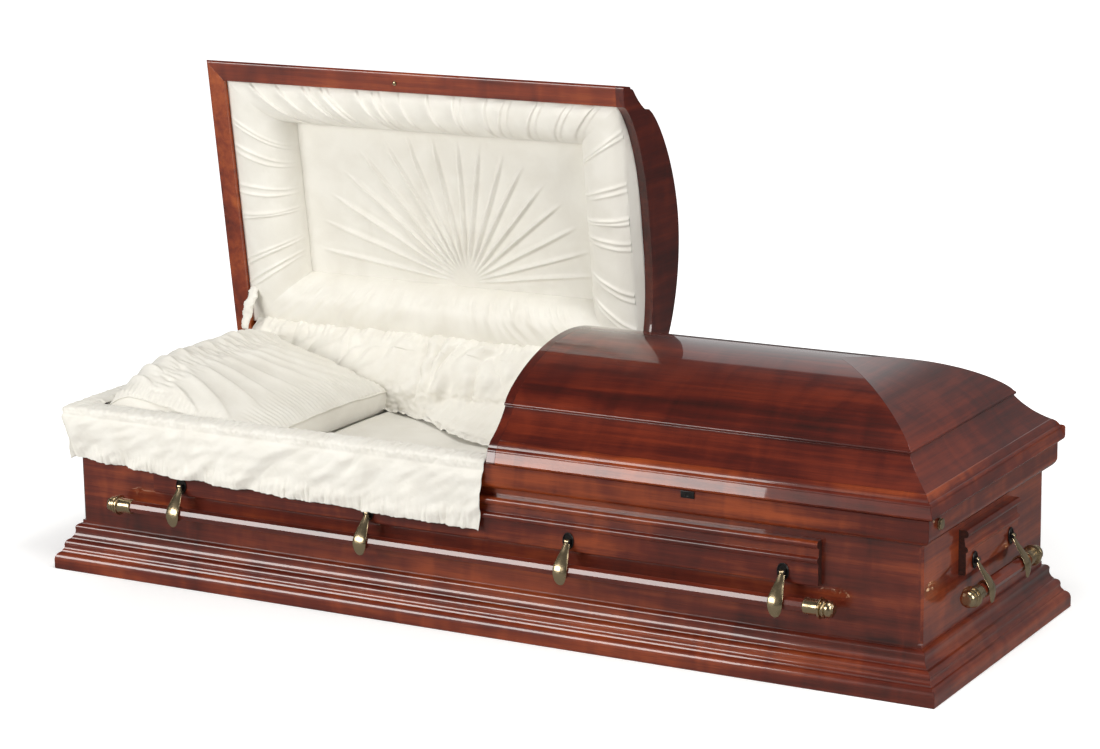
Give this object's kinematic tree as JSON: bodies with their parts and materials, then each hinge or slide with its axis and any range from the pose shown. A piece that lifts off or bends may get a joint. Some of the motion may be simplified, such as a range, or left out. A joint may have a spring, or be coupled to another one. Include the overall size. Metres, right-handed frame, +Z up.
{
  "type": "funeral casket",
  "caption": "Half-couch wooden funeral casket with a domed split lid, stepped mouldings, swing-bar handles, satin lining and pillow.",
  "frame": {"origin": "centre of the base moulding's underside, on the bottom board's underside", "axes": "+Z up, +X toward the foot end, -Y toward the front, where the lids open, +Y toward the hinges"},
  "size_m": [2.132, 0.8956, 1.0596],
  "materials": {
    "lacquered_cherry": "high-gloss lacquer",
    "crown_cherry": "high-gloss lacquer",
    "antique_brass": "satin antique",
    "black_metal": "satin black",
    "ivory_satin": "crepe and satin"
  },
  "bodies": {
    "casket": {"bottom_board": "lacquered_cherry", "base_front": "lacquered_cherry", "base_back": "lacquered_cherry", "base_head": "lacquered_cherry", "base_foot": "lacquered_cherry", "side_front": "lacquered_cherry", "side_back": "lacquered_cherry", "end_head": "lacquered_cherry", "end_foot": "lacquered_cherry", "rail_front": "lacquered_cherry", "rail_back": "lacquered_cherry", "rail_head": "lacquered_cherry", "rail_foot": "lacquered_cherry", "panel_front": "lacquered_cherry", "panel_back": "lacquered_cherry", "panel_head": "lacquered_cherry", "panel_foot": "lacquered_cherry", "tube_cap": "antique_brass", "lid_catch": "black_metal", "body_lining": "ivory_satin", "mattress": "ivory_satin", "overlay": "ivory_satin", "pillow": "ivory_satin", "extendover": "ivory_satin", "head_hinge_body_leaf": "antique_brass", "foot_hinge_body_leaf": "antique_brass", "stay_strap": "ivory_satin"},
    "head_lid": {"head_hinge_lid_leaf": "antique_brass", "head_rim_front": "lacquered_cherry", "head_rim_back": "lacquered_cherry", "head_rim_end": "lacquered_cherry", "head_crown": "crown_cherry", "head_header": "crown_cherry", "head_lining_rolls": "ivory_satin", "head_lining_panel": "ivory_satin", "catch_stud": "antique_brass"},
    "foot_lid": {"foot_hinge_lid_leaf": "antique_brass", "foot_rim_front": "lacquered_cherry", "foot_rim_back": "lacquered_cherry", "foot_rim_end": "lacquered_cherry", "foot_crown": "crown_cherry", "foot_header": "crown_cherry", "foot_lining": "ivory_satin"},
    "front_handle": {"bar_front": "lacquered_cherry", "arm_front_1": "antique_brass", "arm_front_2": "antique_brass", "arm_front_3": "antique_brass", "arm_front_4": "antique_brass"},
    "back_handle": {"bar_back": "lacquered_cherry", "arm_back_1": "antique_brass", "arm_back_2": "antique_brass", "arm_back_3": "antique_brass", "arm_back_4": "antique_brass"},
    "head_handle": {"bar_head": "lacquered_cherry", "arm_head_1": "antique_brass", "arm_head_2": "antique_brass"},
    "foot_handle": {"bar_foot": "lacquered_cherry", "arm_foot_1": "antique_brass", "arm_foot_2": "antique_brass"}
  },
  "joints": [
    {"name": "head_lid_hinge", "type": "hinge", "parent": "casket", "child": "head_lid", "pos_m": [0, 0.346, 0.364], "axis": [1, 0, 0], "range_deg": [0, 83], "deforming": ["extendover", "stay_strap", "pillow"]},
    {"name": "foot_lid_hinge", "type": "hinge", "parent": "casket", "child": "foot_lid", "pos_m": [0, 0.346, 0.364], "axis": [-1, 0, 0], "range_deg": [0, 83]},
    {"name": "front_bar_swing", "type": "hinge", "parent": "casket", "child": "front_handle", "pos_m": [0, -0.34, 0.222], "axis": [-1, 0, 0], "range_deg": [0, 85]},
    {"name": "back_bar_swing", "type": "hinge", "parent": "casket", "child": "back_handle", "pos_m": [0, 0.34, 0.222], "axis": [1, 0, 0], "range_deg": [0, 85]},
    {"name": "foot_bar_swing", "type": "hinge", "parent": "casket", "child": "foot_handle", "pos_m": [1.028, 0, 0.222], "axis": [0, -1, 0], "range_deg": [0, 85]},
    {"name": "head_bar_swing", "type": "hinge", "parent": "casket", "child": "head_handle", "pos_m": [-1.028, 0, 0.222], "axis": [0, 1, 0], "range_deg": [0, 85]}
  ]
}
